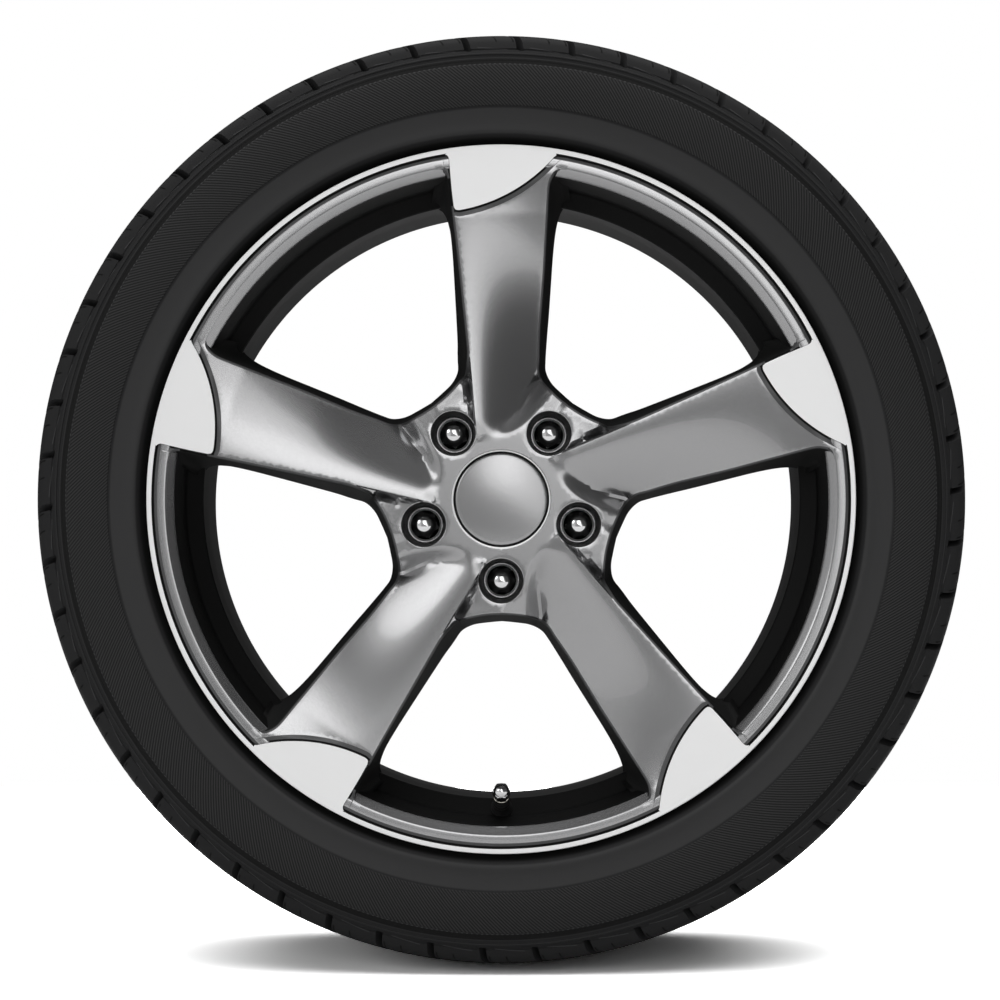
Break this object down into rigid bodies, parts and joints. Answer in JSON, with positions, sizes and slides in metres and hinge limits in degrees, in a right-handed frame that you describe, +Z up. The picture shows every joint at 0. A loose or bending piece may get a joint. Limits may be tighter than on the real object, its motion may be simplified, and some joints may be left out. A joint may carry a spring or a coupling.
{
  "type": "car tyre on an alloy wheel",
  "caption": "Pneumatic road tyre mounted on a twisted-blade alloy wheel with a domed centre cap, closed lug nuts and a snap-in valve.",
  "frame": {"origin": "the wheel's centre, on its axis at the rim's mid-plane", "axes": "+Z up, the wheel spins about +Y, its outboard face towards -Y, the valve at the bottom"},
  "size_m": [0.6686, 0.236, 0.6686],
  "materials": {
    "tyre": "matte black rubber",
    "wheel_metal": "gunmetal paint with a machined lip and machined spoke tips",
    "cap_paint": "satin grey",
    "spring_steel": "bright",
    "nut_chrome": "polished",
    "valve_rubber": "matte",
    "stem_metal": "nickel plated",
    "core_brass": "satin"
  },
  "bodies": {
    "mounted_wheel": {"tyre": "tyre", "wheel": "wheel_metal", "centre_cap": "cap_paint", "cap_ring": "spring_steel", "lug_nuts": "nut_chrome", "valve_body": "valve_rubber", "valve_stem": "stem_metal", "valve_core": "core_brass", "core_spring": "spring_steel"},
    "seal": {"cap_seal": "valve_rubber"},
    "cap": {"valve_cap": "nut_chrome"},
    "pin": {"core_pin": "core_brass"}
  },
  "joints": [
    {"name": "cap_lift", "type": "slide", "parent": "mounted_wheel", "child": "seal", "axis": [0, -0.8829, 0.4695], "range_m": [0, 0.00476]},
    {"name": "cap_turn", "type": "hinge", "parent": "seal", "child": "cap", "pos_m": [0, -0.10309, -0.2055], "axis": [0, -0.8829, 0.4695], "range_deg": [0, 2160]},
    {"name": "pin_press", "type": "slide", "parent": "mounted_wheel", "child": "pin", "axis": [0, -0.8829, 0.4695], "range_m": [-0.002, 0], "stiffness_N_per_m": 250, "springref_m": 0.003, "deforming": ["core_spring"]}
  ],
  "couplings": [
    {"joint": "cap_turn", "follows": "cap_lift", "rad_per_m": 7913.3}
  ]
}
